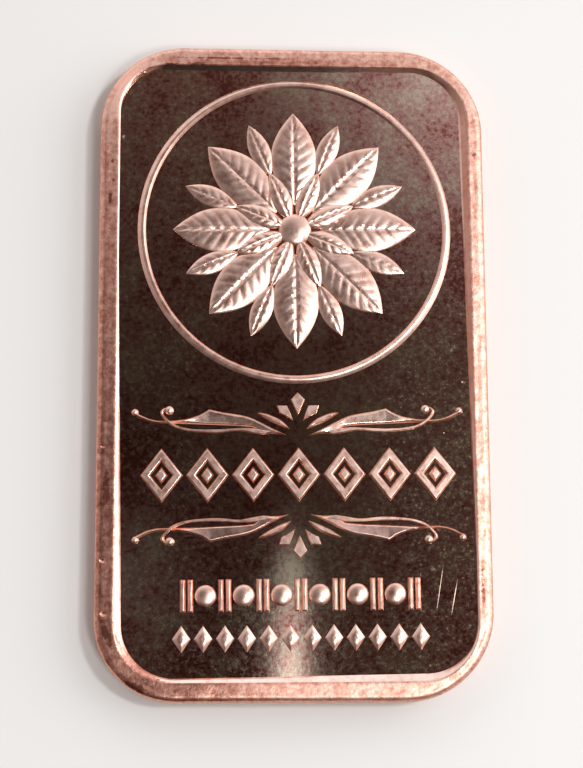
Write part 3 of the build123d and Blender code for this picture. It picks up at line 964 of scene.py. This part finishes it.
print("stains and nicks on the rim:", len(RIM_STAINS), len(RIM_NICKS))

# %% [markdown]
# ### Edge
# The side was sheared from a strip, which leaves fine upright lines. Noise that is stretched
# along the height draws such lines. Then the bar gets its finishes, in the order of their
# numbers.

# %% Sheared edge, and all finishes on the bar
LINE_SPACING, LINE_STRETCH, LINE_DEPTH, EDGE_ROUGH = 0.25, 0.12, 0.04, 0.42


def edge_metal():
    """Look: dull copper with fine upright lines."""
    made, tree, shader, place = metal("sheared_copper_edge")
    squeezed = add(tree, "ShaderNodeMapping", {"Vector": place, "Scale": (1, 1, LINE_STRETCH)})
    lines = add(tree, "ShaderNodeTexNoise", {
        "Vector": squeezed, "Scale": 1 / LINE_SPACING, "Detail": 4.0})
    toned = add(tree, "ShaderNodeValToRGB", {"Fac": lines}, stops=((0.35, "#C98C78"), (0.6, "#E4AC95")))
    surface(tree, shader, toned, EDGE_ROUGH, lines, LINE_DEPTH, strength=0.6)
    return made


SATIN_DARK, SATIN_LIGHT = "#D69E89", "#EDBEAA"
finishes = [
    field_metal(),
    relief_metal("satin_struck_copper_relief", 0.26, 0.36, SATIN_DARK, SATIN_LIGHT),
    rim_metal(),
    edge_metal(),
    relief_metal("half_polished_copper_blade", 0.17, 0.25, SATIN_DARK, SATIN_LIGHT),
    # The bevel's paler colours are a painted highlight, darkened again on the right.
    relief_metal("die_polished_copper_bevel", 0.1, 0.15, "#DEB1A1", "#F3CCBA", 0.22, BEVEL_LESS_PAINTED_HIGHLIGHT),
]
mesh.materials.clear()
for made in finishes:
    mesh.materials.append(made)
mesh.polygons.foreach_set("material_index", slots)

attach(bar, "root")
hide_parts("copper_bar")
print("finishes:", [made.name for made in finishes])

# %% [markdown]
# ## The studio
# The bar lies on a plain sheet of pale paper. The paper is a little warm, because the lamps
# are a little cool, and together they give a neutral white.

# %% Floor
FLOOR_HALF = 600
floor_mesh = bpy.data.meshes.new("floor")
floor_mesh.from_pydata(
    np.array([[-1, -1, 0], [1, -1, 0], [1, 1, 0], [-1, 1, 0]]) * FLOOR_HALF * MM, [], [[0, 1, 2, 3]]
)
floor = bpy.data.objects.new("floor", floor_mesh)
bpy.context.scene.collection.objects.link(floor)
paper = bpy.data.materials.new("matt_white_paper")
paper.use_nodes = True
fill(paper.node_tree, paper.node_tree.nodes["Principled BSDF"], {
    "Base Color": linear("#EEE0D6"), "Roughness": 0.9, "Specular IOR Level": 0.0})
floor_mesh.materials.append(paper)
print("floor side in mm:", 2 * FLOOR_HALF)

# %% [markdown]
# The shadow falls to the left and below, so the key lamp stands high on the right. A wide
# softbox low on the right gives the white line along the left bevel, and a small lamp in front
# lifts the relief.

# %% Lamps
def lamp(name, place, target, size, watts, colour):
    """A rectangular lamp at a place, turned to its target; lengths in millimetres."""
    data = bpy.data.lights.new(name, "AREA")
    data.shape = "RECTANGLE"
    data.size, data.size_y = size[0] * MM, size[1] * MM
    data.energy = watts
    data.color = linear(colour)[:3]
    made = bpy.data.objects.new(name, data)
    bpy.context.scene.collection.objects.link(made)
    made.location = Vector(place) * MM
    made.rotation_euler = (Vector(target) - Vector(place)).to_track_quat("-Z", "Y").to_euler()
    return made


COOL_WHITE = "#E4F5FF"
lamp("key", (200, 26, 430), (0, 0, 0), (52, 52), 0.74, COOL_WHITE)
lamp("side_softbox", (170, 24, 100), (0, 0, 20), (170, 190), 0.19, COOL_WHITE)
lamp("front_lamp", (90, -130, 330), (0, 0, 0), (60, 60), 0.38, COOL_WHITE)

# %% [markdown]
# A mirror is only as dark as what it reflects. Straight above the bar, where the camera and its
# holder would be, the room is dark, and it brightens towards the far side. Dim light is warm
# and bright light is cool, as in a room with a window. A few soft cards hang in the dark part:
# a narrow one makes the pale streak on the lower field, a wide one the haze at the upper right.

# %% World
DARK_POINT, DARK_UNTIL = Vector((-0.035, 0.122, 0.992)).normalized(), 0.66
DARK_LEVEL, OPEN_LEVEL = 0.037, 0.95
MIDDLE_GAIN, RIGHT_GAIN, FAR_GAIN, LEAST_GAIN = 0.85, 0.25, 0.85, 0.02
DIM_TINT, BRIGHT_TINT, ANY_SLOPE = "#FCEBE8", "#EAF6FF", 1e6
# Each card: its middle and its half sizes in the direction's x and y, and its light.
SOFT_CARDS = [
    ((0.062, 0.02), (0.014, 0.11), (2.6, 3.3, 3.8)),
    ((0.2, 0.39), (0.2, 0.2), (1.2, 1.35, 1.75)),
    ((-0.05, 0.07), (0.1, 0.1), (0.1, 0.11, 0.13)),
]

world = bpy.data.worlds.new("studio")
bpy.context.scene.world = world
world.use_nodes = True
tree = world.node_tree
sky = add(tree, "ShaderNodeTexCoord").outputs["Generated"]
axes = add(tree, "ShaderNodeSeparateXYZ", {"Vector": sky})
near = add(tree, "ShaderNodeVectorMath", {0: sky, 1: DARK_POINT}, operation="DOT_PRODUCT")
shade = add(tree, "ShaderNodeMapRange", {
    "Value": near.outputs["Value"], "From Min": 1.0, "From Max": DARK_UNTIL,
    "To Min": DARK_LEVEL, "To Max": OPEN_LEVEL})
gain = MIDDLE_GAIN
for axis, more in (("X", RIGHT_GAIN), ("Y", FAR_GAIN)):
    gain = add(tree, "ShaderNodeMath", {
        0: axes.outputs[axis], 1: more, 2: gain}, operation="MULTIPLY_ADD")
least = add(tree, "ShaderNodeMath", {0: gain, 1: LEAST_GAIN}, operation="MAXIMUM")
glow = add(tree, "ShaderNodeMath", {0: shade, 1: least}, operation="MULTIPLY")
tint = add(tree, "ShaderNodeMix", {
    "Factor": glow, 6: linear(DIM_TINT), 7: linear(BRIGHT_TINT)}, data_type="RGBA")
light = add(tree, "ShaderNodeVectorMath", {0: tint.outputs[2], "Scale": glow}, operation="SCALE")
upward = add(tree, "ShaderNodeMath", {0: axes.outputs["Z"], 1: 0.0}, operation="GREATER_THAN")
for (x, y), (wide, tall), colour in SOFT_CARDS:
    mapped = add(tree, "ShaderNodeMapping", {
        "Vector": sky, "Location": (x, y, 0), "Scale": (wide, tall, ANY_SLOPE)}, vector_type="TEXTURE")
    spot = add(tree, "ShaderNodeTexGradient", {"Vector": mapped}, gradient_type="QUADRATIC_SPHERE")
    lit = add(tree, "ShaderNodeMath", {0: spot.outputs["Fac"], 1: upward}, operation="MULTIPLY")
    light = add(tree, "ShaderNodeVectorMath", {0: colour, 1: lit, 2: light}, operation="MULTIPLY_ADD")
fill(tree, tree.nodes["Background"], {"Color": light})
print("cards in the dark part:", len(SOFT_CARDS))

# %% [markdown]
# ## Camera
# The place and direction were fitted to the photograph's outline of the bar. The focal length
# is kept in pixels of the picture's long side, as such a fit gives it, and turned into
# millimetres on the sensor.

# %% Camera
CAMERA_PLACE = Vector((-8.61, -26.74, 135.80)) * MM
LOOK = Vector((0.062, 0.186, -0.9806)).normalized()
UP = Vector((-0.0063, 0.9825, 0.186))
FOCAL_PIXELS, PICTURE_LONG, SENSOR = 1812, 768, 36.0
right = LOOK.cross(UP).normalized()
up = right.cross(LOOK)
camera_data = bpy.data.cameras.new("camera")
camera_data.sensor_width = SENSOR
camera_data.lens = FOCAL_PIXELS * SENSOR / PICTURE_LONG
camera_data.clip_start = 0.01
camera = bpy.data.objects.new("camera", camera_data)
bpy.context.scene.collection.objects.link(camera)
aim = Matrix((right, up, -LOOK)).transposed().to_4x4()
camera.matrix_world = Matrix.Translation(CAMERA_PLACE) @ aim
bpy.context.scene.camera = camera
bpy.context.scene.view_settings.view_transform = "Standard"
print("lens in mm:", round(camera_data.lens, 1))
